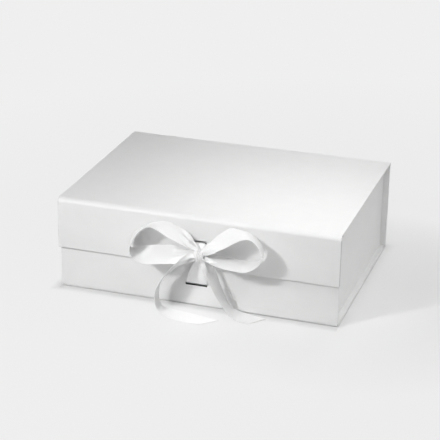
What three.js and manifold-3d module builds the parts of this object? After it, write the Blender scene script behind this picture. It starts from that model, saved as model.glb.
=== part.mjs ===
// Magnetic gift box closed with a satin ribbon bow, assembled and shut.
// Millimetres, +Z up, front towards -Y. The origin is the centre of the underside.
//
// The case is one strip of five boards, laid out flat, covered with paper and folded round:
// front wall, base, spine, lid and flap. Each panel is built flat, as on the bench, with X along the
// box, Y away from its first crease and Z from the outer face inwards, and its group folds it up.

import * as THREE from "three";
import { mergeVertices } from "three/addons/utils/BufferGeometryUtils.js";
import Module from "manifold-3d";

const wasm = await Module();
wasm.setup();

// Outer sizes of the closed box
const LENGTH = 330;
const DEPTH = 246;
const HEIGHT = 110.5;
const FLAP_DROP = 60;

// Materials as bought
const BOARD = 2.5;
const SIDE_BOARD = 2;
const PAPER = 0.25;
const TAB_CARD = 1;
const TAPE = 0.25;
const PANEL = BOARD + 2 * PAPER;
const CREASE_PAPER = 2 * PAPER;
const TURN_IN = 15;

// How the case folds
const LOWER_LENGTH = 328;
const FLAP_STAND_OFF = 4.25;
const WALL_TOP = 107;
const FLAP_RADIUS = 6;
const FRONT_RADIUS = 3.5;
const BACK_RADIUS = 2;
const BASE_TO_SPINE_FLAT = 1.25;
const LINING_MARGIN = 3;
const BASE_LINING_MARGIN = 0.25;

// Side walls and the tabs that hold them
const SIDE_INSET = 7;
const SIDE_OUTSIDE = LENGTH / 2 - SIDE_INSET;
const SIDE_THICKNESS = SIDE_BOARD + 2 * PAPER;
const SIDE_FLANGE = 20;
const TAB_WIDTH = 26;
const TAB_CORNER = 6;
const TAB_BOTTOM = 4;
const TAB_TOP = 104;
const TAPE_WIDTH = 12;
const TAPE_INSET = 8;
const TAPE_MARGIN = 6;

// Closure
const MAGNET_X = 95;
const MAGNET_Z = 64;
const MAGNET_RADIUS = 7.5;
const MAGNET_THICKNESS = 1.75;
const MAGNET_POCKET_DEPTH = 2;
const PLATE_RADIUS = 9;
const PLATE_THICKNESS = 0.5;
const POCKET_CLEARANCE = 0.25;

// Ribbon
const RIBBON = 0.5;
const STEPS_PER_STATION = 4;
const ANCHOR_WIDTH = 22;
const SLOT_WIDTH = 25.5;
const SLOT_HEIGHT = 3;
const FLAP_SLOT_Z = 81;
const WALL_SLOT_Z = 26.75;
const ANCHOR_LENGTH = 13;
const KNOT_CENTRE = new THREE.Vector3(9, -137, 71);
const KNOT_HALF = new THREE.Vector3(6.5, 6.5, 8);
const KNOT_CLEARANCE = 0.3;

// Places that follow from the sizes above
const FRONT_Y = -DEPTH / 2;
const BACK_Y = DEPTH / 2;
const WALL_FRONT_Y = FRONT_Y + FLAP_STAND_OFF;
const BASE_START_Y = WALL_FRONT_Y + FRONT_RADIUS;
const BASE_END_Y = BACK_Y - BACK_RADIUS - BASE_TO_SPINE_FLAT;
const LID_START_Y = BACK_Y - BACK_RADIUS;
const LID_END_Y = FRONT_Y + FLAP_RADIUS;
const FLAP_TOP_Z = HEIGHT - FLAP_RADIUS;
const FLAP_BOTTOM_Z = HEIGHT - FLAP_DROP;
const SIDE_INSIDE = SIDE_OUTSIDE - SIDE_THICKNESS;
const LINED_HALF = SIDE_INSIDE - PAPER;
const TAB_FRONT_Y = WALL_FRONT_Y + PANEL + PAPER + TAPE;
const TAB_BACK_Y = BACK_Y - PANEL - PAPER - TAPE;
const QUARTER = Math.PI / 2;
const WELD = 1e-5;

const paperMaterial = finish(0xf4f4f3, 0.55, 0);
const liningMaterial = finish(0xf1f1ef, 0.7, 0);
const boardMaterial = finish(0xa9a49a, 0.95, 0);
const cardMaterial = finish(0xefeeea, 0.8, 0);
const tapeMaterial = finish(0xe6e2d4, 0.45, 0);
const magnetMaterial = finish(0xb8babd, 0.3, 0.9);
const steelMaterial = finish(0xc2c4c6, 0.4, 0.85);
const satinMaterial = finish(0xf6f6f5, 0.35, 0);

function finish(color, roughness, metalness) {
  return new THREE.MeshStandardMaterial({ color, roughness, metalness });
}

// A box from its lowest to its highest corner
function block(low, high) {
  const size = high.map((value, i) => value - low[i]);
  const centre = high.map((value, i) => (value + low[i]) / 2);
  return new THREE.BoxGeometry(...size).translate(...centre);
}

// A disc lying on its side along Z, from its lowest face upwards
function disc(x, y, z, radius, thickness) {
  const sides = 40;
  const shape = new THREE.CylinderGeometry(radius, radius, thickness, sides);
  return shape.rotateX(QUARTER).translate(x, y, z + thickness / 2);
}

// The same shape with one shared vertex at each corner
function welded(geometry) {
  const bare = geometry.clone();
  bare.deleteAttribute("normal");
  bare.deleteAttribute("uv");
  return mergeVertices(bare, WELD);
}

function toSolid(geometry) {
  const merged = welded(geometry);
  return new wasm.Manifold(
    new wasm.Mesh({
      numProp: 3,
      vertProperties: new Float32Array(merged.attributes.position.array),
      triVerts: new Uint32Array(merged.index.array),
    }),
  );
}

function toGeometry(solid) {
  const mesh = solid.getMesh();
  const geometry = new THREE.BufferGeometry();
  geometry.setAttribute("position", new THREE.BufferAttribute(mesh.vertProperties, 3));
  geometry.setIndex(new THREE.BufferAttribute(mesh.triVerts, 1));
  geometry.computeVertexNormals();
  return geometry;
}

function cut(geometry, tools) {
  return toGeometry(tools.reduce((solid, tool) => solid.subtract(toSolid(tool)), toSolid(geometry)));
}

function join(geometry, others) {
  return toGeometry(others.reduce((solid, other) => solid.add(toSolid(other)), toSolid(geometry)));
}

function piece(name, geometry, material) {
  const mesh = new THREE.Mesh(geometry, material);
  mesh.name = name;
  return mesh;
}

// A profile drawn in the plane of Y and Z, run along X and centred on it
function alongBox(points, length) {
  const shape = new THREE.Shape(points);
  const geometry = new THREE.ExtrudeGeometry(shape, { depth: length, bevelEnabled: false });
  geometry.translate(0, 0, -length / 2);
  return geometry.applyMatrix4(new THREE.Matrix4().makeBasis(
    new THREE.Vector3(0, 1, 0),
    new THREE.Vector3(0, 0, 1),
    new THREE.Vector3(1, 0, 0),
  ));
}

// The board of a panel. It stops one paper short of each edge that the paper wraps, and runs right up
// to a crease.
function boardBlock(length, width, wrapped) {
  const start = wrapped.start ? PAPER : 0;
  const end = wrapped.end ? PAPER : 0;
  return block([-length / 2 + PAPER, start, PAPER], [length / 2 - PAPER, width - end, PAPER + BOARD]);
}

// The cover paper of a panel: its outer face, its wrapped edges, and the turned-in margin inside
function wrapShell(length, width, wrapped) {
  const start = wrapped.start ? TURN_IN : -PAPER;
  const end = wrapped.end ? TURN_IN : -PAPER;
  const window = block(
    [-length / 2 + TURN_IN, start, PAPER + BOARD],
    [length / 2 - TURN_IN, width - end, PANEL + PAPER],
  );
  return cut(block([-length / 2, 0, 0], [length / 2, width, PANEL]), [
    boardBlock(length, width, wrapped),
    window,
  ]);
}

// The slot for the ribbon, right through board, paper and lining, with its centre line at the given Y
// of the panel
function slotCutter(y) {
  const halfWidth = SLOT_WIDTH / 2;
  const halfHeight = SLOT_HEIGHT / 2;
  return block([-halfWidth, y - halfHeight, -PAPER], [halfWidth, y + halfHeight, PANEL + 2 * PAPER]);
}

// Board and cover paper of one panel, with the holes that either needs
function panel(name, length, width, wrapped, throughHoles = [], boardPockets = []) {
  const group = new THREE.Group();
  const board = cut(boardBlock(length, width, wrapped), [...throughHoles, ...boardPockets]);
  const wrap = cut(wrapShell(length, width, wrapped), throughHoles);
  group.add(piece(`${name}_board`, board, boardMaterial));
  group.add(piece(`${name}_wrap`, wrap, paperMaterial));
  return group;
}

// The inner paper of a panel, lying on the turned-in margins
function lining(name, halfLength, start, end, holes = []) {
  const sheet = block([-halfLength, start, PANEL], [halfLength, end, PANEL + PAPER]);
  return piece(name, holes.length > 0 ? cut(sheet, holes) : sheet, liningMaterial);
}

// The two papers between two boards, bent through a quarter turn round the given outer radius
function creaseStrip(name, length, radius, flat) {
  const steps = 10;
  const outer = [];
  const inner = [];
  for (let i = 0; i <= steps; i += 1) {
    const angle = (QUARTER * i) / steps;
    const at = (r) => new THREE.Vector2(flat + r * Math.sin(angle), radius - r * Math.cos(angle));
    outer.push(at(radius));
    inner.push(at(radius - CREASE_PAPER));
  }
  if (flat > 0) {
    outer.unshift(new THREE.Vector2(0, 0));
    inner.unshift(new THREE.Vector2(0, CREASE_PAPER));
  }
  return piece(name, alongBox([...outer, ...inner.reverse()], length), paperMaterial);
}

function basePanel() {
  const width = BASE_END_Y - BASE_START_Y;
  const group = panel("base", LOWER_LENGTH, width, { start: false, end: false });
  const base = lining("base_lining", LINED_HALF, BASE_LINING_MARGIN, width - BASE_LINING_MARGIN);
  base.position.z = PAPER;
  group.add(base);
  const spineCrease = creaseStrip("base_spine_crease", LOWER_LENGTH, BACK_RADIUS, BASE_TO_SPINE_FLAT);
  spineCrease.position.y = width;
  const frontCrease = creaseStrip("base_front_crease", LOWER_LENGTH, FRONT_RADIUS, 0);
  frontCrease.rotation.z = Math.PI;
  group.add(spineCrease, frontCrease);
  group.position.y = BASE_START_Y;
  return group;
}

// The front wall hangs from its free top edge, so its Y runs down
function frontWallPanel() {
  const width = WALL_TOP - FRONT_RADIUS;
  const slot = slotCutter(WALL_TOP - WALL_SLOT_Z);
  const pockets = [-MAGNET_X, MAGNET_X].map((x) =>
    disc(
      x,
      WALL_TOP - MAGNET_Z,
      PAPER + BOARD - PLATE_THICKNESS,
      PLATE_RADIUS + POCKET_CLEARANCE,
      PLATE_THICKNESS + PAPER,
    ),
  );
  const group = panel("front_wall", LOWER_LENGTH, width, { start: true, end: false }, [slot], pockets);
  group.add(lining("front_wall_lining", LINED_HALF, LINING_MARGIN, width, [slot]));
  ["left", "right"].forEach((side, i) => {
    const x = i === 0 ? -MAGNET_X : MAGNET_X;
    const z = PAPER + BOARD - PLATE_THICKNESS;
    const plate = disc(x, WALL_TOP - MAGNET_Z, z, PLATE_RADIUS, PLATE_THICKNESS);
    group.add(piece(`steel_plate_${side}`, plate, steelMaterial));
  });
  const slotTop = WALL_TOP - WALL_SLOT_Z - SLOT_HEIGHT / 2;
  group.add(anchor("ribbon_lower_anchor", slotTop, -1));
  group.rotation.x = -QUARTER;
  group.position.set(0, WALL_FRONT_Y, WALL_TOP);
  return group;
}

// The end of a ribbon: it passes in through the slot against one of its edges, then lies glued flat on
// the back of the board under the lining, running down the panel (+1) or up it (-1) from there
function anchor(name, edge, direction) {
  const half = ANCHOR_WIDTH / 2;
  const inside = PAPER + BOARD;
  const near = edge - direction * RIBBON;
  const far = edge + direction * ANCHOR_LENGTH;
  const stub = block([-half, Math.min(edge, near), 0], [half, Math.max(edge, near), inside + PAPER]);
  const leg = block([-half, Math.min(near, far), inside], [half, Math.max(near, far), inside + PAPER]);
  return piece(name, join(stub, [leg]), satinMaterial);
}

function spinePanel() {
  const width = WALL_TOP - BACK_RADIUS;
  const group = panel("spine", LENGTH, width, { start: false, end: false });
  group.add(lining("spine_lining", LINED_HALF, LINING_MARGIN, width - LINING_MARGIN));
  group.rotation.x = QUARTER;
  group.position.set(0, BACK_Y, BACK_RADIUS);
  return group;
}

function lidPanel() {
  const width = LID_START_Y - LID_END_Y;
  const group = panel("lid", LENGTH, width, { start: false, end: false });
  group.add(lining("lid_lining", LENGTH / 2 - LINING_MARGIN, LINING_MARGIN, width - LINING_MARGIN));
  const flapCrease = creaseStrip("lid_flap_crease", LENGTH, FLAP_RADIUS, 0);
  flapCrease.position.y = width;
  group.add(flapCrease);
  group.rotation.x = Math.PI;
  group.position.set(0, LID_START_Y, HEIGHT);
  return group;
}

// The hinge crease starts on the spine's top edge and bends over to the lid
function hingeCrease() {
  const strip = creaseStrip("spine_lid_crease", LENGTH, BACK_RADIUS, HEIGHT - BACK_RADIUS - WALL_TOP);
  strip.rotation.x = QUARTER;
  strip.position.set(0, BACK_Y, WALL_TOP);
  return strip;
}

function flapPanel() {
  const width = FLAP_TOP_Z - FLAP_BOTTOM_Z;
  const slot = slotCutter(FLAP_TOP_Z - FLAP_SLOT_Z);
  const magnetY = FLAP_TOP_Z - MAGNET_Z;
  const pocketZ = PAPER + BOARD - MAGNET_POCKET_DEPTH;
  const pockets = [-MAGNET_X, MAGNET_X].map((x) =>
    disc(x, magnetY, pocketZ, MAGNET_RADIUS + POCKET_CLEARANCE, MAGNET_POCKET_DEPTH + PAPER),
  );
  const group = panel("flap", LENGTH, width, { start: false, end: true }, [slot], pockets);
  const liningHalf = LENGTH / 2 - LINING_MARGIN;
  group.add(lining("flap_lining", liningHalf, LINING_MARGIN, width - LINING_MARGIN, [slot]));
  ["left", "right"].forEach((side, i) => {
    const x = i === 0 ? -MAGNET_X : MAGNET_X;
    const magnet = disc(x, magnetY, PAPER + BOARD - MAGNET_THICKNESS, MAGNET_RADIUS, MAGNET_THICKNESS);
    group.add(piece(`magnet_${side}`, magnet, magnetMaterial));
  });
  group.add(anchor("ribbon_upper_anchor", FLAP_TOP_Z - FLAP_SLOT_Z + SLOT_HEIGHT / 2, 1));
  group.rotation.x = -QUARTER;
  group.position.set(0, FRONT_Y, FLAP_TOP_Z);
  return group;
}

// A side wall: a board with paper over both faces and its top edge, and a flange of that paper glued
// down on the base. side is -1 for the left and 1 for the right.
function sideWall(side, name) {
  const group = new THREE.Group();
  const start = TAB_FRONT_Y + TAB_CARD;
  const end = TAB_BACK_Y - TAB_CARD;
  const boardOut = SIDE_OUTSIDE - PAPER;
  const boardIn = SIDE_INSIDE + PAPER;
  const boardTop = WALL_TOP - PAPER;
  const board = block([boardIn, start, PANEL], [boardOut, end, boardTop]);
  const shell = cut(block([SIDE_INSIDE, start, PANEL], [SIDE_OUTSIDE, end, WALL_TOP]), [board]);
  const flange = block([SIDE_INSIDE - SIDE_FLANGE, start, PANEL], [boardIn, end, PANEL + PAPER]);
  const cheek = block([boardOut, TAB_FRONT_Y, PANEL], [SIDE_OUTSIDE, TAB_BACK_Y, WALL_TOP]);
  const wrap = join(shell, [flange, cheek]);
  group.add(piece(`${name}_side_board`, mirrored(board, side), boardMaterial));
  group.add(piece(`${name}_side_wrap`, mirrored(wrap, side), paperMaterial));
  group.add(cornerTab(side, `front_${name}_tab`, TAB_FRONT_Y));
  group.add(cornerTab(side, `back_${name}_tab`, TAB_BACK_Y - TAB_CARD));
  group.add(adhesiveStrip(side, `front_${name}_adhesive`, TAB_FRONT_Y - TAPE));
  group.add(adhesiveStrip(side, `back_${name}_adhesive`, TAB_BACK_Y));
  return group;
}

// A tab of card, bent in from the end of a side wall and stuck to the wall that it meets
function cornerTab(side, name, y) {
  const outer = SIDE_OUTSIDE - PAPER;
  const inner = outer - TAB_WIDTH;
  const shape = new THREE.Shape([
    new THREE.Vector2(inner, TAB_BOTTOM + TAB_CORNER),
    new THREE.Vector2(inner + TAB_CORNER, TAB_BOTTOM),
    new THREE.Vector2(outer, TAB_BOTTOM),
    new THREE.Vector2(outer, TAB_TOP),
    new THREE.Vector2(inner + TAB_CORNER, TAB_TOP),
    new THREE.Vector2(inner, TAB_TOP - TAB_CORNER),
  ]);
  const tab = new THREE.ExtrudeGeometry(shape, { depth: TAB_CARD, bevelEnabled: false });
  tab.rotateX(QUARTER).translate(0, y + TAB_CARD, 0);
  return piece(name, mirrored(tab, side), cardMaterial);
}

function adhesiveStrip(side, name, y) {
  const outer = SIDE_OUTSIDE - TAPE_INSET;
  const low = [outer - TAPE_WIDTH, y, TAB_BOTTOM + TAPE_MARGIN];
  const high = [outer, y + TAPE, TAB_TOP - TAPE_MARGIN];
  return piece(name, mirrored(block(low, high), side), tapeMaterial);
}

// The right-hand shape as it is, or turned over to the left with its faces still pointing out
function mirrored(geometry, side) {
  if (side > 0) {
    return geometry;
  }
  const other = welded(geometry).scale(-1, 1, 1);
  const corners = Array.from(other.index.array);
  for (let i = 0; i < corners.length; i += 3) {
    [corners[i], corners[i + 1]] = [corners[i + 1], corners[i]];
  }
  other.setIndex(corners);
  other.computeVertexNormals();
  return other;
}

// One stretch of ribbon, ending against the knot. Each station is a point on its middle line and the
// vector across it, from its back edge to its front edge, so the ribbon turns, twists and gathers as
// its stations say.
function ribbonStretch(name, stations) {
  const steps = (stations.length - 1) * STEPS_PER_STATION;
  const edge = (share) =>
    new THREE.CatmullRomCurve3(
      stations.map(([x, y, z, ax, ay, az]) =>
        new THREE.Vector3(x + ax * share, y + ay * share, z + az * share)),
      false,
      "centripetal",
    );
  const middle = edge(0);
  const front = edge(0.5);
  const back = edge(-0.5);
  const positions = [];
  for (let i = 0; i <= steps; i += 1) {
    const t = i / steps;
    const a = front.getPoint(t);
    const b = back.getPoint(t);
    const across = a.clone().sub(b);
    const lift = middle.getTangent(t).cross(across).normalize().multiplyScalar(RIBBON / 2);
    for (const [point, sign] of [[a, 1], [b, 1], [b, -1], [a, -1]]) {
      positions.push(...point.clone().addScaledVector(lift, sign).toArray());
    }
  }
  const index = [];
  const corners = 4;
  for (let i = 0; i < steps; i += 1) {
    for (let j = 0; j < corners; j += 1) {
      const p = i * corners + j;
      const q = i * corners + ((j + 1) % corners);
      index.push(p, q, p + corners, q, q + corners, p + corners);
    }
  }
  const last = steps * corners;
  index.push(0, 2, 1, 0, 3, 2);
  index.push(last, last + 1, last + 2, last, last + 2, last + 3);
  const geometry = new THREE.BufferGeometry();
  geometry.setAttribute("position", new THREE.Float32BufferAttribute(positions, 3));
  geometry.setIndex(index);
  return piece(name, cut(geometry, [knotShape(KNOT_CLEARANCE)]), satinMaterial);
}

// The knot: a small drum of gathered ribbon, waisted and creased lengthways, grown by the given margin
function knotShape(margin) {
  const around = 28;
  const rings = 14;
  const folds = 7;
  const foldDepth = 0.06;
  const positions = [];
  const index = [];
  for (let i = 1; i < rings; i += 1) {
    const polar = (Math.PI * i) / rings;
    for (let j = 0; j < around; j += 1) {
      const turn = (2 * Math.PI * j) / around;
      const crease = 1 - foldDepth * (0.5 + 0.5 * Math.cos(folds * turn)) * Math.sin(polar);
      const girth = Math.pow(Math.sin(polar), 0.6) * crease;
      positions.push(girth * Math.cos(turn), girth * Math.sin(turn), Math.cos(polar));
    }
  }
  const top = positions.length / 3;
  positions.push(0, 0, 1);
  const bottom = top + 1;
  positions.push(0, 0, -1);
  for (let j = 0; j < around; j += 1) {
    const next = (j + 1) % around;
    index.push(top, j, next);
    for (let i = 0; i < rings - 2; i += 1) {
      const a = i * around;
      const b = a + around;
      index.push(a + j, b + j, b + next, a + j, b + next, a + next);
    }
    const last = (rings - 2) * around;
    index.push(bottom, last + next, last + j);
  }
  const geometry = new THREE.BufferGeometry();
  geometry.setAttribute("position", new THREE.Float32BufferAttribute(positions, 3));
  geometry.setIndex(index);
  geometry.scale(KNOT_HALF.x + margin, KNOT_HALF.y + margin, KNOT_HALF.z + margin);
  geometry.translate(...KNOT_CENTRE);
  geometry.computeVertexNormals();
  return geometry;
}

// Stations: x, y, z of the middle line, then the vector across. The ribbon is 24 mm wide where it is
// not gathered.
const LEFT_LOOP = [
  [6.5, -137, 75, 2, -6, -1.5],
  [1, -135.5, 79, 2.5, -12, -4.5],
  [-3, -136, 83, 2, -15.5, -7],
  [-8, -135.5, 87, 3, -18.5, -9.5],
  [-17.5, -135.5, 92, 5, -21, -9.5],
  [-29, -136, 96.5, 6, -21.5, -9],
  [-41, -136.5, 98.5, 9, -22, -1],
  [-52, -137, 97.5, 8.5, -21, 7],
  [-64, -137.5, 88.5, 8.5, -21.5, 6.5],
  [-71, -137.5, 76, 9.5, -21, 7],
  [-72, -138, 67.5, 6.5, -22.5, 5],
  [-67.5, -138, 64, 3.5, -23.5, -2],
  [-59.5, -138, 63, 2, -21.5, -10],
  [-51, -139, 64, 0.5, -17.5, -16],
  [-38, -137.5, 65.5, 1.5, -17.5, -16],
  [-26, -136.5, 67, 2.5, -17, -16],
  [-14.5, -136.2, 68.5, 3.5, -14.5, -12.5],
  [-5.7, -136, 70.6, 3, -10.5, -6.5],
  [0.7, -136.2, 72.7, 2.5, -8, -2.5],
  [6.5, -137, 72.5, 2.5, -6.5, -0.5],
];
const RIGHT_LOOP = [
  [12, -137, 75.5, 2, -7, -2.5],
  [17, -137.5, 79.5, 3.5, -12, -6],
  [22.5, -137.5, 83.5, 6, -16, -8.5],
  [29, -138, 88, 8.5, -19.5, -8],
  [37.5, -138, 94, 8.5, -19.5, -10.5],
  [46.5, -137.5, 100, 9, -20, -9.5],
  [56, -136.5, 102, 8.5, -22, -2.5],
  [66, -137, 102, 7.5, -22.5, 1],
  [74.5, -137.5, 97, 6, -23, 2],
  [80.5, -138, 88.5, 3.5, -23, 4],
  [82.5, -138, 80, 5, -22.5, 5.5],
  [78, -138, 73, 7.5, -22, 5],
  [70, -138, 68, 8, -22.5, 0],
  [59.5, -138, 65.5, 8, -22, -4.5],
  [46.5, -138, 66, 7.5, -22, -5],
  [34.5, -138, 67, 6, -22, -4.5],
  [25.5, -138, 68, 5, -20, -4.5],
  [18.5, -138, 68.5, 3, -14, -4],
  [12, -137, 69.5, 2, -8, -2],
];
const LEFT_TAIL = [
  [7, -138, 69, 0, -5, 5.5],
  [1.5, -140, 68, -0.5, -6, 10.5],
  [-4.5, -140, 64.5, 1, -11.5, 12],
  [-11, -140.5, 60.5, 2.5, -17, 11.5],
  [-19.5, -141, 54, 4, -20.5, 11],
  [-27.5, -141.5, 45, 5, -21, 9.5],
  [-33.5, -141, 36.5, 4.5, -22, 7.5],
  [-38, -142, 25.5, 3.5, -22.5, 7],
  [-38.5, -142.5, 14, 2.5, -22.5, 7],
  [-35, -144.5, 5, 3, -23, 4.5],
  [-26, -147, 1.5, 1, -23, 1],
  [-13.5, -149, 0.6, 1, -23.5, 0],
  [4, -152, 0.6, 1.5, -23.9, 0],
  [27, -155, 0.6, -17.5, -17, 0],
];
const RIGHT_TAIL = [
  [13.5, -137.5, 66, -2, -7.5, 2],
  [17, -134, 61.5, -8.5, -12.5, 1.5],
  [20, -134, 55, -9.5, -17.5, 2.5],
  [23.5, -135, 45.5, -6, -22.5, 5],
  [27.5, -135, 37.5, -3.5, -23, 5],
  [31.5, -132, 26, -3, -23, 6],
  [38, -131.5, 15, -2.5, -22.5, 7],
  [48, -132.5, 5.5, -0.5, -23.5, 2],
  [56, -131.5, 1.5, 0.5, -24, 0],
  [66, -133, 0.7, 0, -24, 0],
  [76.5, -135, 0.7, -14.5, -19, 0],
];
const UPPER_STRAND = [
  [0, -123.3, 79.75, 23.5, 0, 0],
  [0.5, -124.6, 79.4, 23, 0, 0],
  [2.5, -127, 78.3, 19.5, -0.5, 0],
  [5, -130, 76.8, 14.5, -0.5, 0],
  [7.5, -133, 75, 9.5, 0, 0],
  [9, -136.5, 74, 7, 0, 0],
];
const LOWER_STRAND = [
  [0.5, -119.05, 28, 23.5, 0, 0],
  [0.6, -120, 28.5, 23.5, 0, 0],
  [1, -121.2, 31, 23.3, 0, 0],
  [3, -125.3, 43, 20, 0, 0],
  [5, -129, 53, 16, -1, 0],
  [7, -132.5, 61, 12, -2, 0.5],
  [8.5, -135.5, 66.5, 8, -2, 0.5],
];

function bow() {
  const group = new THREE.Group();
  group.add(piece("bow_knot", knotShape(0), satinMaterial));
  group.add(ribbonStretch("bow_left_loop", LEFT_LOOP));
  group.add(ribbonStretch("bow_right_loop", RIGHT_LOOP));
  group.add(ribbonStretch("bow_left_tail", LEFT_TAIL));
  group.add(ribbonStretch("bow_right_tail", RIGHT_TAIL));
  group.add(ribbonStretch("ribbon_upper_strand", UPPER_STRAND));
  group.add(ribbonStretch("ribbon_lower_strand", LOWER_STRAND));
  return group;
}

const giftBox = new THREE.Group();
giftBox.add(basePanel(), frontWallPanel(), spinePanel());
giftBox.add(sideWall(-1, "left"), sideWall(1, "right"));
giftBox.add(hingeCrease(), lidPanel(), flapPanel());
giftBox.add(bow());

export default giftBox;
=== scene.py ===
"""A white magnetic gift box tied with a satin ribbon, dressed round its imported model. Metres, +Z up."""

import math

import bmesh
import bpy
import numpy as np
from mathutils import Matrix, Vector


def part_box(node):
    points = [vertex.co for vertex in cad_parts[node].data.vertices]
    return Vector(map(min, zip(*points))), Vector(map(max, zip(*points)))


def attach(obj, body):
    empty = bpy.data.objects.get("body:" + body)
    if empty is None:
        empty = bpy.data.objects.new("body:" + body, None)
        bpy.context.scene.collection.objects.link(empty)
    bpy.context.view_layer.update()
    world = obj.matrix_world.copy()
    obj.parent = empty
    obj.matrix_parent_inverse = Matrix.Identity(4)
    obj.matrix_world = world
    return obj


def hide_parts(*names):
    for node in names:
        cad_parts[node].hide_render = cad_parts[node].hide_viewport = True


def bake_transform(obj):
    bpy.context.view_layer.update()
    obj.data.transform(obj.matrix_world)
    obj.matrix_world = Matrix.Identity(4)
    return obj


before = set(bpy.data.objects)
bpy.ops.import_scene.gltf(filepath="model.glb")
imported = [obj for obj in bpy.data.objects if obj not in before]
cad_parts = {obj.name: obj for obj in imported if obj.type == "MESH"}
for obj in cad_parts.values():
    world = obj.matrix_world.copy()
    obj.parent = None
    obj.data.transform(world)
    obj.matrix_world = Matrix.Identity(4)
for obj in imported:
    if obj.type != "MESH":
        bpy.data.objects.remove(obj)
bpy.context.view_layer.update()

MM = 0.001
QUARTER = math.pi / 2

# The camera that the photograph was taken with
CAMERA_AZIMUTH = math.radians(17.52)
CAMERA_ELEVATION = math.radians(22.25)
CAMERA_ROLL = math.radians(1.04)
CAMERA_DISTANCE = 1.8937
CAMERA_TARGET = Vector((-0.01107, 0, 0.05778))
CAMERA_LENS = 130.98
SENSOR_WIDTH = 36
VIEW_END = 50

# Paper and board. The flap's paper gives the outermost front and sides of the box
PAPER = 0.25 * MM
TURN_IN = 15 * MM
EDGE_RADIUS = 0.4 * MM
EDGE_STEPS = 4
CREASE_PAPER = 2 * PAPER
CREASE_STEPS = 24
SLOT_HALF_WIDTH = 12.75 * MM
SLOT_HALF_HEIGHT = 1.5 * MM
FLAP_SLOT_Z = 81 * MM
WALL_SLOT_Z = 26.75 * MM
# Margin round the slots that the board's painted slot shade reaches
SLOT_SHADE_MARGIN = 0.1 * MM
FLAP_LOW, FLAP_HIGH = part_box("flap_wrap")
PLAN_HALF_WIDTH = FLAP_HIGH.x
PLAN_HALF_DEPTH = -FLAP_LOW.y
# Where the cover paper is darkened with painted shade at the open ends of the front boards
BOARD_END = PLAN_HALF_WIDTH - 0.3 * MM
BOARD_FRONT = 115.5 * MM
END_SHADOW = 0.7
CUT_FRONT = 110 * MM
TAB_CORNER = 6 * MM
TAB_WEAR = 0.2 * MM
TINY = 1e-6
HAIR = 1e-7
SAME_WAY = 0.99
SQUARE_FROM = math.radians(60)

# Where a face's neighbours turn by more than this, their edge stays crisp
CRISP_PAPER = math.radians(35)
CRISP_RIBBON = math.radians(55)
CRISP_KNOT = math.radians(70)

# Ribbon
RIBBON_WIDTH = 24 * MM
RIBBON_THICKNESS = 0.35 * MM
ANCHOR_THICKNESS = 0.2 * MM
WOVEN_SHARE = 0.975
FLAT_SHARE = 0.08
FOLD_HEIGHT = 8 * MM
FLAT_BELOW = 0.25
FLOOR_CLEARANCE = 0.5 * MM
RIBBON_STEP = 1.1 * MM
RIBBON_ACROSS = 20
FEWEST_STEPS = 12
CURVE_STEPS = 24
LOOP_CROWN = 0.3 * MM
KNOT_TURN = 48 * MM
KNOT_AROUND = 72
KNOT_ACROSS = 64
KNOT_TILT = math.radians(10)
KNOT_SQUARENESS = 0.85
KNOT_FULLNESS = 0.92
BROAD_FOLDS = 2.1
FINE_FOLDS = 6.4
FOLD_SHARE = 0.085
BROAD_START = 0.9
FINE_START = -0.5
BROAD_WANDER = 0.8
FINE_WANDER = -0.6
EDGE_DROP = 0.34
WAIST_DROP = 0.12
END_FLARE = 0.1

# Studio
BACKDROP = 0.863
FLOOR_SHADE = 0.84
# Painted shade on the floor along the foot of the box's front
CREVICE_SHADE = 0.70
FLOOR_GRAIN = 0.01
FLOOR_HALF = 6
SHADOW_CENTRE = Vector((0.16, -0.02, 0))
GLOW_START = 0.2
GLOW_RISE = 2.9
GLOW_LEAST = 0.35
FAR_GLOW = 0.9
FAR_GLOW_RISE = 0.12
CONTACT_GLOW = 0.3
CONTACT_REACH = 10 * MM
CREVICE_REACH = 8 * MM
BEYOND = 1000

X = Vector((1, 0, 0))
Y = Vector((0, 1, 0))
Z = Vector((0, 0, 1))


class Wire:
    """The output of a node, so that maths on it reads as an expression."""

    def __init__(self, tree, output):
        self.tree = tree
        self.output = output

    def maths(self, operation, first, second=0.0):
        return wire_node(self.tree, "ShaderNodeMath", {"operation": operation}, {0: first, 1: second})

    def __add__(self, other):
        return self.maths("ADD", self, other)

    __radd__ = __add__

    def __sub__(self, other):
        return self.maths("SUBTRACT", self, other)

    def __rsub__(self, other):
        return self.maths("SUBTRACT", other, self)

    def __mul__(self, other):
        return self.maths("MULTIPLY", self, other)

    __rmul__ = __mul__

    def __truediv__(self, other):
        return self.maths("DIVIDE", self, other)

    def __pow__(self, other):
        return self.maths("POWER", self, other)

    def __gt__(self, other):
        return self.maths("GREATER_THAN", self, other)

    def at_least(self, other):
        return self.maths("MAXIMUM", self, other)

    def at_most(self, other):
        return self.maths("MINIMUM", self, other)

    def sine(self):
        return self.maths("SINE", self)

    def size(self):
        return self.maths("ABSOLUTE", self)


def wire_node(tree, kind, settings=None, inputs=None, output=0):
    """A node of this kind with its settings made first, then its sockets filled or linked."""
    node = tree.nodes.new(kind)
    for name, value in (settings or {}).items():
        setattr(node, name, value)
    for name, value in (inputs or {}).items():
        if isinstance(value, Wire):
            tree.links.new(value.output, node.inputs[name])
        else:
            node.inputs[name].default_value = value
    return Wire(tree, node.outputs[output])


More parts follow.
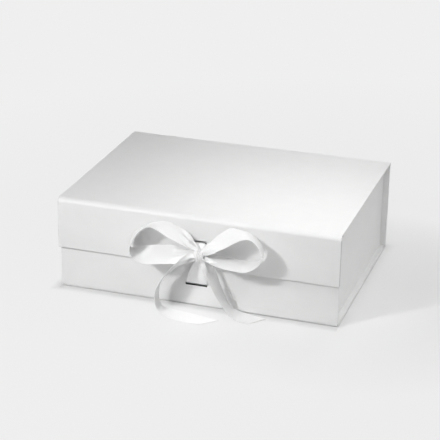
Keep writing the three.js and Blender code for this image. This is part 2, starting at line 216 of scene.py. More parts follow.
class Finish:
    """A material under construction: its tree, and the nodes that every finish here uses."""

    def __init__(self, name, **constants):
        self.material = bpy.data.materials.new(name)
        self.material.use_nodes = True
        self.tree = self.material.node_tree
        self.shader = self.tree.nodes["Principled BSDF"]
        for socket, value in constants.items():
            self.shader.inputs[socket.replace("_", " ")].default_value = value

    def node(self, kind, settings=None, inputs=None, output=0):
        return wire_node(self.tree, kind, settings, inputs, output)

    def place(self, output="Object"):
        """Where the surface is: in the object's own metres, or on its UV map."""
        return self.node("ShaderNodeTexCoord", output=output)

    def stretched(self, place, scale):
        return self.node("ShaderNodeMapping", {}, {"Vector": place, "Scale": scale})

    def noise(self, place, scale, detail):
        return self.node("ShaderNodeTexNoise", {}, {"Vector": place, "Scale": scale, "Detail": detail})

    def parts(self, place):
        """The three coordinates of a place, each as a wire of its own."""
        split = self.tree.nodes.new("ShaderNodeSeparateXYZ")
        self.tree.links.new(place.output, split.inputs[0])
        return [Wire(self.tree, output) for output in split.outputs]

    def blend(self, share, first, second):
        """A colour between two others, each given as three numbers or as a wire."""
        first, second = (shade if isinstance(shade, Wire) else (*shade, 1) for shade in (first, second))
        return self.node("ShaderNodeMix", {"data_type": "RGBA"}, {0: share, 6: first, 7: second}, 2)

    def bump(self, height, distance, strength):
        inputs = {"Height": height, "Distance": distance, "Strength": strength}
        return self.node("ShaderNodeBump", {}, inputs)

    def feed(self, **sockets):
        """Links each wire to the shader's socket of that name, and gives back the finished material."""
        for socket, wire in sockets.items():
            self.tree.links.new(wire.output, self.shader.inputs[socket.replace("_", " ")])
        return self.material


def cover_paper():
    """Coated white art paper: faint fibre mottle, a soft sheen and a very fine tooth.

    At the open ends of the front boards its colour is darkened with painted shade.
    """
    finish = Finish("cover paper", Specular_IOR_Level=0.5)
    place = finish.place()
    x, y, _ = finish.parts(place)
    mottle = finish.noise(place, 60, 3)
    tooth = finish.noise(place, 2600, 2)
    # painted shade: the cover paper's colour is darkened at the open ends of the front boards
    painted_end_shade = (x.size() > BOARD_END) * ((y * -1) > BOARD_FRONT)
    paper = finish.blend(mottle, (0.845, 0.845, 0.845), (0.885, 0.885, 0.88))
    return finish.feed(
        Base_Color=finish.blend(painted_end_shade * END_SHADOW, paper, (0.45, 0.45, 0.45)),
        Roughness=0.40 + 0.10 * finish.noise(place, 25, 2),
        Normal=finish.bump(tooth, 0.02 * MM, 0.35),
    )


def lining_paper():
    """Plain uncoated white paper, duller and more fibrous than the cover."""
    finish = Finish("lining paper", Specular_IOR_Level=0.35)
    place = finish.place()
    fibres = finish.noise(finish.stretched(place, (1, 2.5, 1)), 900, 3)
    return finish.feed(
        Base_Color=finish.blend(finish.noise(place, 90, 3), (0.80, 0.80, 0.79), (0.86, 0.86, 0.85)),
        Roughness=0.70 + 0.15 * fibres,
        Normal=finish.bump(fibres, 0.04 * MM, 0.5),
    )


def greyboard():
    """Raw grey board: pulp with darker flecks, and painted shade, near black, on the walls of the cut
    slots.
    """
    finish = Finish("greyboard", Specular_IOR_Level=0.2)
    place = finish.place()
    x, y, z = finish.parts(place)
    pulp = finish.noise(place, 1400, 4)
    flecks = finish.noise(place, 5200, 1) ** 6 * 3
    board = finish.blend(pulp * 0.7 + flecks, (0.42, 0.40, 0.36), (0.24, 0.23, 0.21))
    # painted shade: the board round the cut slots is coloured near black, standing in for shade in the
    # narrow cut
    off_slot = (z - WALL_SLOT_Z).size().at_most((z - FLAP_SLOT_Z).size())
    beside_slot = (off_slot > SLOT_HALF_HEIGHT + SLOT_SHADE_MARGIN) + (x.size() > SLOT_HALF_WIDTH + SLOT_SHADE_MARGIN)
    painted_slot_shade = ((y * -1) > CUT_FRONT) * (1 - beside_slot).at_least(0.0)
    return finish.feed(
        Base_Color=finish.blend(painted_slot_shade, board, (0.02, 0.02, 0.02)),
        Roughness=0.85 + 0.12 * pulp,
        Normal=finish.bump(pulp, 0.08 * MM, 0.6),
    )


def tab_card():
    """White paper-faced card, as the side walls' tabs are made of."""
    finish = Finish("tab card", Specular_IOR_Level=0.4)
    place = finish.place()
    mottle = finish.noise(place, 300, 3)
    return finish.feed(
        Base_Color=finish.blend(mottle, (0.80, 0.80, 0.79), (0.87, 0.87, 0.86)),
        Roughness=0.55 + 0.15 * mottle,
        Normal=finish.bump(finish.noise(place, 1800, 2), 0.03 * MM, 0.4),
    )


def adhesive_tape():
    """Double-sided tape: cream carrier with a wavy gloss of glue."""
    finish = Finish("adhesive tape", Specular_IOR_Level=0.5)
    place = finish.place()
    glue = finish.noise(place, 220, 2)
    return finish.feed(
        Base_Color=finish.blend(glue, (0.72, 0.69, 0.60), (0.80, 0.78, 0.70)),
        Roughness=0.25 + 0.2 * glue,
        Normal=finish.bump(glue, 0.05 * MM, 0.5),
    )


def metal(name, dark, light, grain):
    """Bright metal with fine lines left by rolling or plating."""
    finish = Finish(name, Metallic=1.0)
    place = finish.place()
    lines = finish.noise(finish.stretched(place, grain), 400, 3)
    return finish.feed(
        Base_Color=finish.blend(lines, dark, light),
        Roughness=0.22 + 0.2 * lines,
        Normal=finish.bump(lines, 0.01 * MM, 0.4),
    )


def satin_ribbon():
    """Double-faced satin: long warp floats along the ribbon, and a ribbed selvedge at each edge.

    The UV map holds metres: U across from the middle, V along.
    """
    finish = Finish("satin ribbon", Specular_IOR_Level=0.55, Sheen_Weight=0.15, Sheen_Roughness=0.4)
    place = finish.place("UV")
    across, along, _ = finish.parts(place)
    warp = finish.noise(finish.stretched(place, (9000, 500, 1)), 1, 2)
    floats = finish.noise(finish.stretched(place, (1500, 60, 1)), 1, 2)
    selvedge = across.size() > (0.46 * RIBBON_WIDTH)
    ribs = (along * (math.tau / (0.45 * MM))).sine() * 0.5 + 0.5
    height = warp * 0.6 + selvedge * (0.5 + 0.8 * ribs)
    return finish.feed(
        Base_Color=finish.blend(floats, (0.88, 0.88, 0.88), (0.93, 0.93, 0.93)),
        Roughness=0.30 + 0.12 * floats + 0.18 * selvedge,
        Normal=finish.bump(height, 0.03 * MM, 0.5),
    )


def shape_to_piece(bm, name, material, crisp=CRISP_PAPER):
    """The finished shape as an object at the origin: smooth, with its sharp edges kept crisp."""
    bm.normal_update()
    for face in bm.faces:
        face.smooth = True
    for edge in bm.edges:
        edge.smooth = edge.calc_face_angle(0) < crisp
    mesh = bpy.data.meshes.new(name)
    bm.to_mesh(mesh)
    bm.free()
    mesh.materials.append(material)
    piece = bpy.data.objects.new(name, mesh)
    bpy.context.scene.collection.objects.link(piece)
    return piece


def faces_towards(bm, direction):
    """The faces that look in one direction."""
    return [face for face in bm.faces if face.normal.dot(direction) > SAME_WAY]


def corners_of(geom):
    """The corners among what an operator gives back."""
    return [item for item in geom if isinstance(item, bmesh.types.BMVert)]


def move(bm, step, corners):
    """Shifts these corners by one step."""
    bmesh.ops.translate(bm, vec=step, verts=corners)


def with_edges(faces):
    """The faces with their edges and corners, as the cutting operators want them."""
    edges = {edge for face in faces for edge in face.edges}
    corners = {corner for face in faces for corner in face.verts}
    return list(faces) + list(edges) + list(corners)


def cut_face(bm, direction, point, normal):
    """Cuts the faces that look in one direction along the plane through a point."""
    geom = with_edges(faces_towards(bm, direction))
    bmesh.ops.bisect_plane(bm, geom=geom, plane_co=point, plane_no=normal, dist=HAIR)
    bm.normal_update()


def open_window(bm, direction, low, high):
    """Cuts a rectangle out of the faces that look in one direction. low and high are its corners."""
    for axis in (X, Y, Z):
        if abs(axis.dot(direction)) > 0.5:
            continue
        for corner in (low, high):
            cut_face(bm, direction, corner, axis)
    gone = []
    for face in faces_towards(bm, direction):
        centre = face.calc_center_median()
        if all(low[i] < centre[i] < high[i] for i in range(3) if abs(direction[i]) < 0.5):
            gone.append(face)
    bmesh.ops.delete(bm, geom=gone, context="FACES")


def thicken(bm, thickness):
    """Gives an open skin its thickness, inwards from the side that its faces look to."""
    bmesh.ops.solidify(bm, geom=bm.faces[:], thickness=thickness)
    bmesh.ops.recalc_face_normals(bm, faces=bm.faces[:])


def bevel(bm, edges, radius, steps):
    """Rounds these edges evenly."""
    shape = {"profile": 0.5, "affect": "EDGES", "material": -1}
    bmesh.ops.bevel(bm, geom=edges, offset=radius, segments=steps, **shape)


def soften(bm, radius):
    """Rounds every edge where two faces meet at about a right angle."""
    edges = [edge for edge in bm.edges if edge.calc_face_angle(0) > SQUARE_FROM]
    bevel(bm, edges, radius, EDGE_STEPS)
    bm.normal_update()


def papered_panel(name, node, outward, open_sides, body, slot_z=None):
    """The cover paper of one panel: outer face, rounded edges, and the margin turned in behind."""
    low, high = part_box(node)
    bm = bmesh.new()
    bmesh.ops.create_cube(bm, size=1)
    bmesh.ops.scale(bm, vec=high - low, verts=bm.verts)
    move(bm, (low + high) / 2, bm.verts)
    bm.normal_update()
    gone = [face for side in open_sides for face in faces_towards(bm, side)]
    bmesh.ops.delete(bm, geom=gone, context="FACES")
    window_low = Vector(low)
    window_high = Vector(high)
    for i, axis in enumerate((X, Y, Z)):
        window_low[i] += -TURN_IN if -axis in open_sides else TURN_IN
        window_high[i] += TURN_IN if axis in open_sides else -TURN_IN
    open_window(bm, -outward, window_low, window_high)
    soften(bm, EDGE_RADIUS)
    if slot_z is not None:
        corner_low = Vector((-SLOT_HALF_WIDTH, low.y, slot_z - SLOT_HALF_HEIGHT))
        corner_high = Vector((SLOT_HALF_WIDTH, low.y, slot_z + SLOT_HALF_HEIGHT))
        open_window(bm, outward, corner_low, corner_high)
    thicken(bm, PAPER)
    piece = shape_to_piece(bm, name, PAPER_FINISH)
    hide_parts(node)
    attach(piece, body)


def crease(name, node, pivot, start, axis, flat):
    """The two papers between two boards, swept through a quarter turn about pivot from start.

    flat is the straight stretch before the turn, given as a vector.
    """
    low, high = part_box(node)
    bm = bmesh.new()
    ends = [bm.verts.new((x, start.y, start.z)) for x in (low.x, high.x)]
    edge = bm.edges.new(ends)
    if flat.length > 0:
        moved = bmesh.ops.extrude_edge_only(bm, edges=[edge])["geom"]
        move(bm, flat, corners_of(moved))
        edge = next(item for item in moved if isinstance(item, bmesh.types.BMEdge))
    bmesh.ops.spin(
        bm,
        geom=[edge, *edge.verts],
        cent=pivot,
        axis=axis,
        dvec=(0, 0, 0),
        angle=QUARTER,
        steps=CREASE_STEPS,
    )
    bmesh.ops.recalc_face_normals(bm, faces=bm.faces[:])
    bm.normal_update()
    sample = bm.faces[:][-1]
    if sample.normal.dot(sample.calc_center_median() - pivot) < 0:
        bmesh.ops.reverse_faces(bm, faces=bm.faces[:])
    thicken(bm, CREASE_PAPER)
    piece = shape_to_piece(bm, name, PAPER_FINISH)
    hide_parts(node)
    return piece


def side_wall_paper(side, name, node):
    """A side wall's paper: flange on the base, inner face, rounded top edge and outer face."""
    low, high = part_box(node)
    board_low, board_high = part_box(node.replace("wrap", "board"))
    outer = max(abs(low.x), abs(high.x))
    inner = outer - (board_high.x - board_low.x) - 2 * PAPER
    flange = min(abs(low.x), abs(high.x))
    route = [
        (flange, low.z + PAPER),
        (inner, low.z + PAPER),
        (inner, high.z),
        (outer, high.z),
        (outer, low.z),
    ]
    bm = bmesh.new()
    corners = [bm.verts.new((side * x, board_low.y, z)) for x, z in route]
    edges = [bm.edges.new(pair) for pair in zip(corners, corners[1:])]
    swept = bmesh.ops.extrude_edge_only(bm, edges=edges)["geom"]
    move(bm, Y * (board_high.y - board_low.y), corners_of(swept))
    bmesh.ops.recalc_face_normals(bm, faces=bm.faces[:])
    bm.normal_update()
    outer_face = max(bm.faces, key=lambda face: side * face.calc_center_median().x)
    if outer_face.normal.x * side < 0:
        bmesh.ops.reverse_faces(bm, faces=bm.faces[:])
    soften(bm, EDGE_RADIUS)
    for end, far in ((board_low.y, low.y), (board_high.y, high.y)):
        rim = [
            edge
            for edge in bm.edges
            if edge.is_boundary
            and all(abs(corner.co.y - end) < TINY for corner in edge.verts)
            and all(abs(corner.co.x) > outer - TINY for corner in edge.verts)
        ]
        grown = bmesh.ops.extrude_edge_only(bm, edges=rim)["geom"]
        move(bm, Y * (far - end), corners_of(grown))
    bm.normal_update()
    thicken(bm, PAPER)
    piece = shape_to_piece(bm, name, PAPER_FINISH)
    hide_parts(node)
    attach(piece, "tray")


def corner_tab(name, node):
    """A tab of card with cut corners and edges worn soft by the die."""
    low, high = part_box(node)
    left = low.x < 0
    free, fixed = (high.x, low.x) if left else (low.x, high.x)
    step = -TAB_CORNER if left else TAB_CORNER
    outline = [
        (free, low.z + TAB_CORNER),
        (free + step, low.z),
        (fixed, low.z),
        (fixed, high.z),
        (free + step, high.z),
        (free, high.z - TAB_CORNER),
    ]
    bm = bmesh.new()
    face = bm.faces.new([bm.verts.new((x, low.y, z)) for x, z in outline])
    swept = bmesh.ops.extrude_face_region(bm, geom=[face])["geom"]
    move(bm, Y * (high.y - low.y), corners_of(swept))
    bmesh.ops.recalc_face_normals(bm, faces=bm.faces[:])
    bevel(bm, bm.edges[:], TAB_WEAR, 2)
    piece = shape_to_piece(bm, name, CARD_FINISH)
    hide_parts(node)
    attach(piece, "tray")


def pace(start, end):
    """How long the curve takes from one station to the next: the root of the distance."""
    return max(np.linalg.norm(end - start) ** 0.5, TINY)


def stretch(before, start, end, after, shares):
    """Points at these shares of the way from start to end, on the curve through all four."""
    first, middle, last = pace(before, start), pace(start, end), pace(end, after)
    way_in, way, way_out = (start - before) / first, (end - start) / middle, (after - end) / last
    leave = (way_in - (end - before) / (first + middle) + way) * middle
    arrive = (way - (after - start) / (middle + last) + way_out) * middle
    rows = []
    for t in shares:
        departing = (2 * t**3 - 3 * t**2 + 1) * start + (t**3 - 2 * t**2 + t) * leave
        rows.append(departing + (3 * t**2 - 2 * t**3) * end + (t**3 - t**2) * arrive)
    return rows


def along_curve(points):
    """Points on the smooth curve through the stations, each stretch's speed eased by its length."""
    padded = np.vstack([2 * points[0] - points[1], points, 2 * points[-1] - points[-2]])
    shares = np.linspace(0, 1, CURVE_STEPS + 1)
    rows = [points[0]]
    for i in range(len(points) - 1):
        rows.extend(stretch(*padded[i : i + 4], shares[1:]))
    return np.array(rows)


def evenly(values, lengths, count):
    """Resamples rows of values at even steps of their running length."""
    marks = np.linspace(0, lengths[-1], count)
    return np.column_stack([np.interp(marks, lengths, column) for column in values.T])


class Ribbon:
    """A stretch of ribbon along its stations: x, y, z of the middle line and the vector across.

    Pleats take up the width where it is drawn in, as deep as fullness says. Crown bows it between
    its edges.
    """

    def __init__(self, stations, pleats=2.0, crown=0.0, fullness=1.0):
        rows = np.asarray(stations, float) * MM
        middle, half = rows[:, :3], rows[:, 3:] / 2
        front = along_curve(middle + half)
        back = along_curve(middle - half)
        for edge in (front, back):
            edge[:, 2] = np.maximum(edge[:, 2], FLOOR_CLEARANCE)
        centre = (front + back) / 2
        steps = np.linalg.norm(np.diff(centre, axis=0), axis=1)
        lengths = np.concatenate([[0], np.cumsum(steps)])
        self.length = float(lengths[-1])
        self.count = max(FEWEST_STEPS, int(self.length / RIBBON_STEP))
        self.front = evenly(front, lengths, self.count + 1)
        self.back = evenly(back, lengths, self.count + 1)
        self.pleats = pleats
        self.crown = crown
        self.fullness = fullness

    def lift(self):
        """The unit vector off the ribbon's face at each step."""
        centre = (self.front + self.back) / 2
        tangent = np.gradient(centre, axis=0)
        lift = np.cross(tangent, self.front - self.back)
        return lift / np.linalg.norm(lift, axis=1, keepdims=True)

    def fold_depth(self):
        """Half the height of the pleats that take up the width where the ribbon is drawn in."""
        width = np.linalg.norm(self.front - self.back, axis=1)
        ratio = np.clip(WOVEN_SHARE * RIBBON_WIDTH / width, 1, 3)
        slope = np.sqrt(2 * (ratio**2 - 1))
        height = (self.front + self.back)[:, 2] / 2
        drawn_in = np.clip((ratio - 1) / FLAT_SHARE, 0, 1)
        off_floor = np.clip(height / FOLD_HEIGHT - FLAT_BELOW, 0, 1)
        onset = drawn_in * off_floor
        return self.fullness * onset * slope * width / (math.tau * self.pleats)

    def shape(self):
        """The ribbon as a grid, bent to its route, with a UV map in metres."""
        bm = bmesh.new()
        grid = bmesh.ops.create_grid(bm, x_segments=RIBBON_ACROSS, y_segments=self.count, size=0.5)
        uv_layer = bm.loops.layers.uv.new("UVMap")
        lift = self.lift()
        depth = self.fold_depth()
        place = {}
        for corner in grid["verts"]:
            u = corner.co.x
            row = int(round((corner.co.y + 0.5) * self.count))
            place[corner] = (u, row)
            wave = math.cos(math.tau * self.pleats * u)
            crown = self.crown * (1 - 4 * u * u)
            point = self.back[row] + (self.front[row] - self.back[row]) * (u + 0.5)
            corner.co = point + lift[row] * (depth[row] * wave + crown)
            corner.co.z = max(corner.co.z, FLOOR_CLEARANCE)
        for face in bm.faces:
            for loop in face.loops:
                u, row = place[loop.vert]
                loop[uv_layer].uv = (u * RIBBON_WIDTH, self.length * row / self.count)
        return bm


def ribbon_piece(name, ribbon, node, body, thickness=RIBBON_THICKNESS):
    """One stretch of ribbon, given its thickness and attached to its body."""
    bm = ribbon.shape()
    bm.normal_update()
    thicken(bm, thickness)
    piece = shape_to_piece(bm, name, SATIN_FINISH, CRISP_RIBBON)
    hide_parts(node)
    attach(piece, body)


def knot_offset(u, turn, half):
    """A point on the knot, from its middle. u goes across the band and turn round the bow.

    half is half the knot's size. The band's folds wander a little as they go round.
    """
    broad = math.cos(math.tau * BROAD_FOLDS * u + BROAD_WANDER * math.sin(turn) + BROAD_START)
    fine = math.cos(math.tau * FINE_FOLDS * u + FINE_WANDER * math.cos(turn) + FINE_START)
    edge = 1 - EDGE_DROP * abs(2 * u) ** 3
    radial = edge * (KNOT_FULLNESS + FOLD_SHARE * broad + FOLD_SHARE * fine)
    depth = math.copysign(abs(math.cos(turn)) ** KNOT_SQUARENESS, math.cos(turn))
    height = math.copysign(abs(math.sin(turn)) ** KNOT_SQUARENESS, math.sin(turn))
    waist = 1 - WAIST_DROP * (1 - abs(height))
    spread = KNOT_FULLNESS + END_FLARE * abs(height)
    return Vector((2 * u * half.x * spread, half.y * radial * depth, half.z * radial * height * waist))


def knot_piece(name, node):
    """The band of ribbon wound once round the middle of the bow and drawn tight, in lengthways folds."""
    low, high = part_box(node)
    centre = (low + high) / 2
    half = (high - low) / 2
    bm = bmesh.new()
    grid = bmesh.ops.create_grid(bm, x_segments=KNOT_ACROSS, y_segments=KNOT_AROUND, size=0.5)
    uv_layer = bm.loops.layers.uv.new("UVMap")
    place = {}
    tilt = Matrix.Rotation(KNOT_TILT, 3, "Y")
    for corner in grid["verts"]:
        u, v = corner.co.x, corner.co.y + 0.5
        place[corner] = (u, v)
        corner.co = centre + tilt @ knot_offset(u, math.tau * v, half)
    for face in bm.faces:
        for loop in face.loops:
            u, v = place[loop.vert]
            loop[uv_layer].uv = (u * RIBBON_WIDTH, v * KNOT_TURN)
    bmesh.ops.remove_doubles(bm, verts=bm.verts[:], dist=TINY)
    bmesh.ops.recalc_face_normals(bm, faces=bm.faces[:])
    bm.normal_update()
    thicken(bm, RIBBON_THICKNESS)
    piece = shape_to_piece(bm, name, SATIN_FINISH, CRISP_KNOT)
    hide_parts(node)
    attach(piece, "flap")


# Stations in millimetres: x, y, z of the middle line, then the vector from back edge to front edge
LEFT_LOOP = [
    [6.5, -137, 75, 2, -6, -1.5],
    [1, -135.5, 79, 2.5, -12, -4.5],
    [-3, -136, 83, 2, -15.5, -7],
    [-8, -135.5, 87, 3, -18.5, -9.5],
    [-17.5, -135.5, 92, 5, -21, -9.5],
    [-29, -136, 96.5, 6, -21.5, -9],
    [-41, -136.5, 98.5, 9, -22, -1],
    [-52, -137, 97.5, 8.5, -21, 7],
    [-64, -137.5, 88.5, 8.5, -21.5, 6.5],
    [-71, -137.5, 76, 9.5, -21, 7],
    [-72, -138, 67.5, 6.5, -22.5, 5],
    [-67.5, -138, 64, 3.5, -23.5, -2],
    [-59.5, -138, 63, 2, -21.5, -10],
    [-51, -139, 64, 0.5, -17.5, -16],
    [-38, -137.5, 65.5, 1.5, -17.5, -16],
    [-26, -136.5, 67, 2.5, -17, -16],
    [-14.5, -136.2, 68.5, 3.5, -14.5, -12.5],
    [-5.7, -136, 70.6, 3, -10.5, -6.5],
    [0.7, -136.2, 72.7, 2.5, -8, -2.5],
    [6.5, -137, 72.5, 2.5, -6.5, -0.5],
]
RIGHT_LOOP = [
    [12, -137, 75.5, 2, -7, -2.5],
    [17, -137.5, 79.5, 3.5, -12, -6],
    [22.5, -137.5, 83.5, 6, -16, -8.5],
    [29, -138, 88, 8.5, -19.5, -8],
    [37.5, -138, 94, 8.5, -19.5, -10.5],
    [46.5, -137.5, 100, 9, -20, -9.5],
    [56, -136.5, 102, 8.5, -22, -2.5],
    [66, -137, 102, 7.5, -22.5, 1],
    [74.5, -137.5, 97, 6, -23, 2],
    [80.5, -138, 88.5, 3.5, -23, 4],
    [82.5, -138, 80, 5, -22.5, 5.5],
    [78, -138, 73, 7.5, -22, 5],
    [70, -138, 68, 8, -22.5, 0],
    [59.5, -138, 65.5, 8, -22, -4.5],
    [46.5, -138, 66, 7.5, -22, -5],
    [34.5, -138, 67, 6, -22, -4.5],
    [25.5, -138, 68, 5, -20, -4.5],
    [18.5, -138, 68.5, 3, -14, -4],
    [12, -137, 69.5, 2, -8, -2],
]
LEFT_TAIL = [
    [7, -138, 69, 0, -5, 5.5],
    [1.5, -140, 68, -0.5, -6, 10.5],
    [-4.5, -140, 64.5, 1, -11.5, 12],
    [-11, -140.5, 60.5, 2.5, -17, 11.5],
    [-19.5, -141, 54, 4, -20.5, 11],
    [-27.5, -141.5, 45, 5, -21, 9.5],
    [-33.5, -141, 36.5, 4.5, -22, 7.5],
    [-38, -142, 25.5, 3.5, -22.5, 7],
    [-38.5, -142.5, 14, 2.5, -22.5, 7],
    [-35, -144.5, 5, 3, -23, 4.5],
    [-26, -147, 1.5, 1, -23, 1],
    [-13.5, -149, 0.6, 1, -23.5, 0],
    [4, -152, 0.6, 1.5, -23.9, 0],
    [27, -155, 0.6, -17.5, -17, 0],
]
RIGHT_TAIL = [
    [13.5, -137.5, 66, -2, -7.5, 2],
    [17, -134, 61.5, -8.5, -12.5, 1.5],
    [20, -134, 55, -9.5, -17.5, 2.5],
    [23.5, -135, 45.5, -6, -22.5, 5],
    [27.5, -135, 37.5, -3.5, -23, 5],
    [31.5, -132, 26, -3, -23, 6],
    [38, -131.5, 15, -2.5, -22.5, 7],
    [48, -132.5, 5.5, -0.5, -23.5, 2],
    [56, -131.5, 1.5, 0.5, -24, 0],
    [66, -133, 0.7, 0, -24, 0],
    [76.5, -135, 0.7, -14.5, -19, 0],
]
UPPER_STRAND = [
    [0, -123.05, 79.6, 23.5, 0, 0],
    [0.5, -124.6, 79.3, 23, 0, 0],
    [2.5, -127, 78.3, 19.5, -0.5, 0],
    [5, -130, 76.8, 14.5, -0.5, 0],
    [7.5, -133, 75, 9.5, 0, 0],
    [9, -136.5, 74, 7, 0, 0],
]
LOWER_STRAND = [
    [0.5, -118.95, 27.85, 23.5, 0, 0],
    [0.6, -120, 28.4, 23.5, 0, 0],
    [1, -121.2, 31, 23.3, 0, 0],
    [3, -125.3, 43, 20, 0, 0],
    [5, -129, 53, 16, -1, 0],
    [7, -132.5, 61, 12, -2, 0.5],
    [8.5, -135.5, 66.5, 8, -2, 0.5],
]
UPPER_ANCHOR = [
    [0, -122.95, 79.9, 22, 0, 0],
    [0, -121, 79.9, 22, 0, 0],
    [0, -120.2, 79.5, 22, 0, 0],
    [0, -120.02, 78.6, 22, 0, 0],
    [0, -120.02, 66.6, 22, 0, 0],
]
LOWER_ANCHOR = [
    [0, -118.85, 28.15, 22, 0, 0],
    [0, -116.8, 28.15, 22, 0, 0],
    [0, -116.1, 28.5, 22, 0, 0],
    [0, -115.98, 29.2, 22, 0, 0],
    [0, -115.98, 41.1, 22, 0, 0],
]

PAPER_FINISH = cover_paper()
LINING_FINISH = lining_paper()
BOARD_FINISH = greyboard()
CARD_FINISH = tab_card()
TAPE_FINISH = adhesive_tape()
MAGNET_FINISH = metal("nickel plate", (0.55, 0.55, 0.54), (0.68, 0.68, 0.67), (1, 1, 1))
STEEL_FINISH = metal("sheet steel", (0.52, 0.53, 0.54), (0.66, 0.67, 0.68), (1, 1, 12))
SATIN_FINISH = satin_ribbon()


def finish_cad_nodes():
    """Gives every CAD node that stays its finish."""
    finishes = {
        "lining": LINING_FINISH,
        "board": BOARD_FINISH,
        "tab": CARD_FINISH,
        "adhesive": TAPE_FINISH,
        "magnet": MAGNET_FINISH,
        "steel": STEEL_FINISH,
    }
    for name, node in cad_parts.items():
        finish = next((value for word, value in finishes.items() if word in name), PAPER_FINISH)
        node.data.materials.clear()
        node.data.materials.append(finish)


def build_case():
    """The papers of the five boards, the side walls' papers and the corner tabs."""
    papered_panel("base_paper", "base_wrap", -Z, [Y, -Y], "tray")
    papered_panel("front_wall_paper", "front_wall_wrap", -Y, [-Z], "tray", WALL_SLOT_Z)
    papered_panel("spine_paper", "spine_wrap", Y, [Z, -Z], "tray")
    papered_panel("lid_paper", "lid_wrap", Z, [Y, -Y], "lid")
    papered_panel("flap_paper", "flap_wrap", -Y, [Z], "flap", FLAP_SLOT_Z)
    side_wall_paper(-1, "left_side_paper", "left_side_wrap")
    side_wall_paper(1, "right_side_paper", "right_side_wrap")
    for corner in ("front_left", "back_left", "front_right", "back_right"):
        corner_tab(f"{corner}_card", f"{corner}_tab")


def build_creases():
    """The lid's two creases, and the two still ones beside the base."""
    front_low, front_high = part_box("lid_flap_crease")
    pivot = Vector((0, front_high.y, front_low.z))
    top = Vector((0, front_high.y, front_high.z))
    lid_flap = crease("lid_flap_fold", "lid_flap_crease", pivot, top, X, Vector())
    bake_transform(lid_flap)

    back_low, back_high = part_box("spine_lid_crease")
    radius = back_high.y - back_low.y
    pivot = Vector((0, back_low.y, back_high.z - radius))
    foot = Vector((0, back_high.y, back_low.z))
    rise = Z * (pivot.z - back_low.z)
    spine_lid = crease("spine_lid_fold", "spine_lid_crease", pivot, foot, X, rise)
    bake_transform(spine_lid)

    low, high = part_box("base_front_crease")
    pivot = Vector((0, high.y, high.z))
    start = Vector((0, low.y, high.z))
    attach(crease("base_front_fold", "base_front_crease", pivot, start, X, Vector()), "tray")

    low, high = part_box("base_spine_crease")
    radius = high.z - low.z
    pivot = Vector((0, high.y - radius, high.z))
    start = Vector((0, low.y, low.z))
    run = Y * (pivot.y - low.y)
    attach(crease("base_spine_fold", "base_spine_crease", pivot, start, X, run), "tray")


def build_ribbon():
    """The bow, the two strands behind it and the ends that are glued down behind the boards."""
    knot_piece("knot", "bow_knot")
    left = Ribbon(LEFT_LOOP, crown=LOOP_CROWN)
    right = Ribbon(RIGHT_LOOP, crown=LOOP_CROWN)
    ribbon_piece("left_loop", left, "bow_left_loop", "flap")
    ribbon_piece("right_loop", right, "bow_right_loop", "flap")
    ribbon_piece("left_tail", Ribbon(LEFT_TAIL), "bow_left_tail", "flap")
    ribbon_piece("right_tail", Ribbon(RIGHT_TAIL), "bow_right_tail", "flap")
    upper = Ribbon(UPPER_STRAND, fullness=0.6)
    ribbon_piece("upper_strand", upper, "ribbon_upper_strand", "flap")
    lower = Ribbon(LOWER_STRAND, pleats=1.5, fullness=0.35)
    ribbon_piece("lower_strand", lower, "ribbon_lower_strand", "flap")
    for name, stations, node, body, board in (
        ("upper_end", UPPER_ANCHOR, "ribbon_upper_anchor", "flap", "flap_board"),
        ("lower_end", LOWER_ANCHOR, "ribbon_lower_anchor", "tray", "front_wall_board"),
    ):
        end = Ribbon(stations, fullness=0)
        ribbon_piece(name, end, node, body, ANCHOR_THICKNESS)


def aim(thing, place, target):
    """Puts a thing at its place, turned to its target."""
    thing.location = place
    thing.rotation_euler = (Vector(target) - Vector(place)).to_track_quat("-Z", "Y").to_euler()


def soft_box(name, place, target, width, height, power, spread=180):
    """A rectangular lamp that points at its target. spread is in degrees, as a grid narrows it."""
    lamp = bpy.data.lights.new(name, "AREA")
    lamp.shape = "RECTANGLE"
    lamp.size = width
    lamp.size_y = height
    lamp.energy = power
    lamp.spread = math.radians(spread)
    box = bpy.data.objects.new(name, lamp)
    box.visible_camera = False
    bpy.context.scene.collection.objects.link(box)
    aim(box, place, target)


def build_camera():
    """The camera at the photograph's angle, with its slight roll."""
    right = Vector((math.cos(CAMERA_AZIMUTH), math.sin(CAMERA_AZIMUTH), 0))
    level = math.cos(CAMERA_ELEVATION)
    back = Vector((
        math.sin(CAMERA_AZIMUTH) * level,
        -math.cos(CAMERA_AZIMUTH) * level,
        math.sin(CAMERA_ELEVATION),
    ))
    up = back.cross(right)
    turned_right = right * math.cos(CAMERA_ROLL) + up * math.sin(CAMERA_ROLL)
    turned_up = up * math.cos(CAMERA_ROLL) - right * math.sin(CAMERA_ROLL)
    lens = bpy.data.cameras.new("camera")
    lens.lens = CAMERA_LENS
    lens.sensor_width = SENSOR_WIDTH
    lens.clip_end = VIEW_END
    camera = bpy.data.objects.new("camera", lens)
    bpy.context.scene.collection.objects.link(camera)
    turn = Matrix((turned_right, turned_up, back)).transposed().to_4x4()
    camera.matrix_world = Matrix.Translation(CAMERA_TARGET + back * CAMERA_DISTANCE) @ turn
    bpy.context.scene.camera = camera


def seen_directly(tree):
    """1 for rays that show the surroundings themselves, and 0 for the light that they throw."""
    rays = tree.nodes.new("ShaderNodeLightPath")
    seen, mirrored, refracted = (
        Wire(tree, rays.outputs[f"Is {kind} Ray"]) for kind in ("Camera", "Glossy", "Transmission")
    )
    return seen.at_least(mirrored).at_least(refracted)


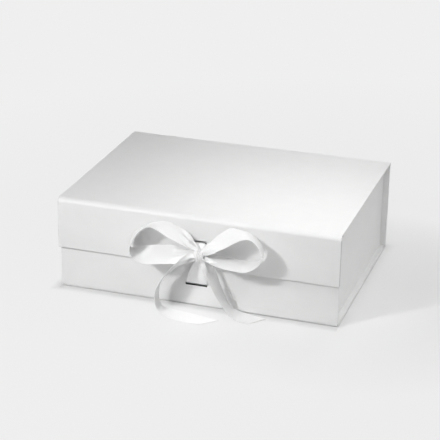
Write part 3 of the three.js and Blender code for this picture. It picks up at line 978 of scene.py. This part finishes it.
def build_world():
    """A world that shows the backdrop's grey and gives no light."""
    world = bpy.data.worlds.new("studio")
    bpy.context.scene.world = world
    world.use_nodes = True
    tree = world.node_tree
    background = tree.nodes["Background"]
    shades = {0: seen_directly(tree), 6: (0, 0, 0, 1), 7: (BACKDROP, BACKDROP, BACKDROP, 1)}
    backdrop = wire_node(tree, "ShaderNodeMix", {"data_type": "RGBA"}, shades, 2)
    tree.links.new(backdrop.output, background.inputs["Color"])
    background.inputs["Strength"].default_value = 1


def floor_finish():
    """A matt floor that looks like the backdrop far from the box, and near it shows its own shading.

    Close to the foot the shading grows, and in front of the box a thin line along the foot is darkened
    with painted shade.
    """
    finish = Finish("floor", Specular_IOR_Level=0.0, Roughness=1.0)
    place = finish.place()
    x, y, _ = finish.parts(place)
    off_x = x - SHADOW_CENTRE.x
    off_y = y - SHADOW_CENTRE.y
    distance = (off_x * off_x + off_y * off_y) ** 0.5
    near_glow = (GLOW_START + GLOW_RISE * distance).at_least(GLOW_LEAST)
    open_glow = near_glow.at_most(FAR_GLOW + FAR_GLOW_RISE * distance)
    past_side = x.size() - PLAN_HALF_WIDTH
    past_front = y.size() - PLAN_HALF_DEPTH
    contact = past_side.at_least(past_front).at_least(0.0) / CONTACT_REACH
    contact_glow = (CONTACT_GLOW + (1 - CONTACT_GLOW) * contact).at_most(1.0)
    # painted shade: the floor's colour darkens towards the foot of the box's front
    crevice = past_front / CREVICE_REACH + (past_side > 0.0) * BEYOND
    clear = crevice.at_least(0.0).at_most(1.0)
    open_shade = FLOOR_SHADE + FLOOR_GRAIN * finish.noise(place, 3, 2)
    finish.feed(Base_Color=clear * open_shade + (1 - clear) * CREVICE_SHADE)
    tree = finish.tree
    glow = tree.nodes.new("ShaderNodeEmission")
    glow.inputs["Color"].default_value = (BACKDROP, BACKDROP, BACKDROP, 1)
    mix = tree.nodes.new("ShaderNodeMixShader")
    share = seen_directly(tree) * (open_glow * contact_glow).at_most(1.0)
    tree.links.new(share.output, mix.inputs[0])
    tree.links.new(finish.shader.outputs[0], mix.inputs[1])
    tree.links.new(glow.outputs[0], mix.inputs[2])
    tree.links.new(mix.outputs[0], tree.nodes["Material Output"].inputs["Surface"])
    return finish.material


def build_floor():
    """A floor much wider than the view."""
    bm = bmesh.new()
    bmesh.ops.create_grid(bm, x_segments=1, y_segments=1, size=FLOOR_HALF)
    mesh = bpy.data.meshes.new("floor")
    bm.to_mesh(mesh)
    bm.free()
    floor = bpy.data.objects.new("floor", mesh)
    bpy.context.scene.collection.objects.link(floor)
    mesh.materials.append(floor_finish())


def build_lights():
    """Soft boxes in metres: place, target, width, height and watts, gridded where a spread is given."""
    soft_box("key", (-0.633, -1.023, 0.78), (0, -0.13, 0.08), 0.115, 0.115, 7.1)
    soft_box("near front", (-0.2, -0.6, 0.45), (0, -0.12, 0.06), 0.3, 0.3, 0.9)
    soft_box("overhead", (0.1, -0.35, 0.7), (0.1, -0.15, 0.05), 0.4, 0.3, 0.3)
    soft_box("high overhead", (0.1, -0.1, 1.3), (0.1, -0.1, 0), 1.0, 1.0, 1.4)
    soft_box("gridded top", (0.1, -0.1, 0.45), (0.1, -0.1, 0), 0.25, 0.25, 0.04, spread=90)
    soft_box("gridded front", (0.3, -0.3, 0.6), (0.12, -0.05, 0.11), 0.25, 0.25, 0.132, spread=60)
    soft_box("gridded back", (0.2, 0.45, 0.7), (0.1, -0.1, 0.11), 0.3, 0.3, 0.16, spread=60)
    soft_box("back", (0, 0.55, 0.42), (0.05, -0.1, 0.11), 0.6, 0.3, 0.4)
    soft_box("right", (1.3, 0.1, 0.4), (0, 0, 0.05), 0.7, 0.6, 4.6)
    soft_box("left", (-1.2, -0.2, 0.6), (0, 0, 0.05), 0.6, 0.6, 0.8)
    soft_box("gridded low", (0.0, -0.33, 0.3), (0.0, -0.16, 0), 0.06, 0.06, 0.0065, spread=21)
    soft_box("low back", (-0.2, 2.4, 0.055), (0, 0, 0.055), 1.2, 0.1, 20)


build_camera()
finish_cad_nodes()
build_case()
build_creases()
build_ribbon()
build_world()
build_floor()
build_lights()
bpy.context.scene.view_settings.view_transform = "Standard"
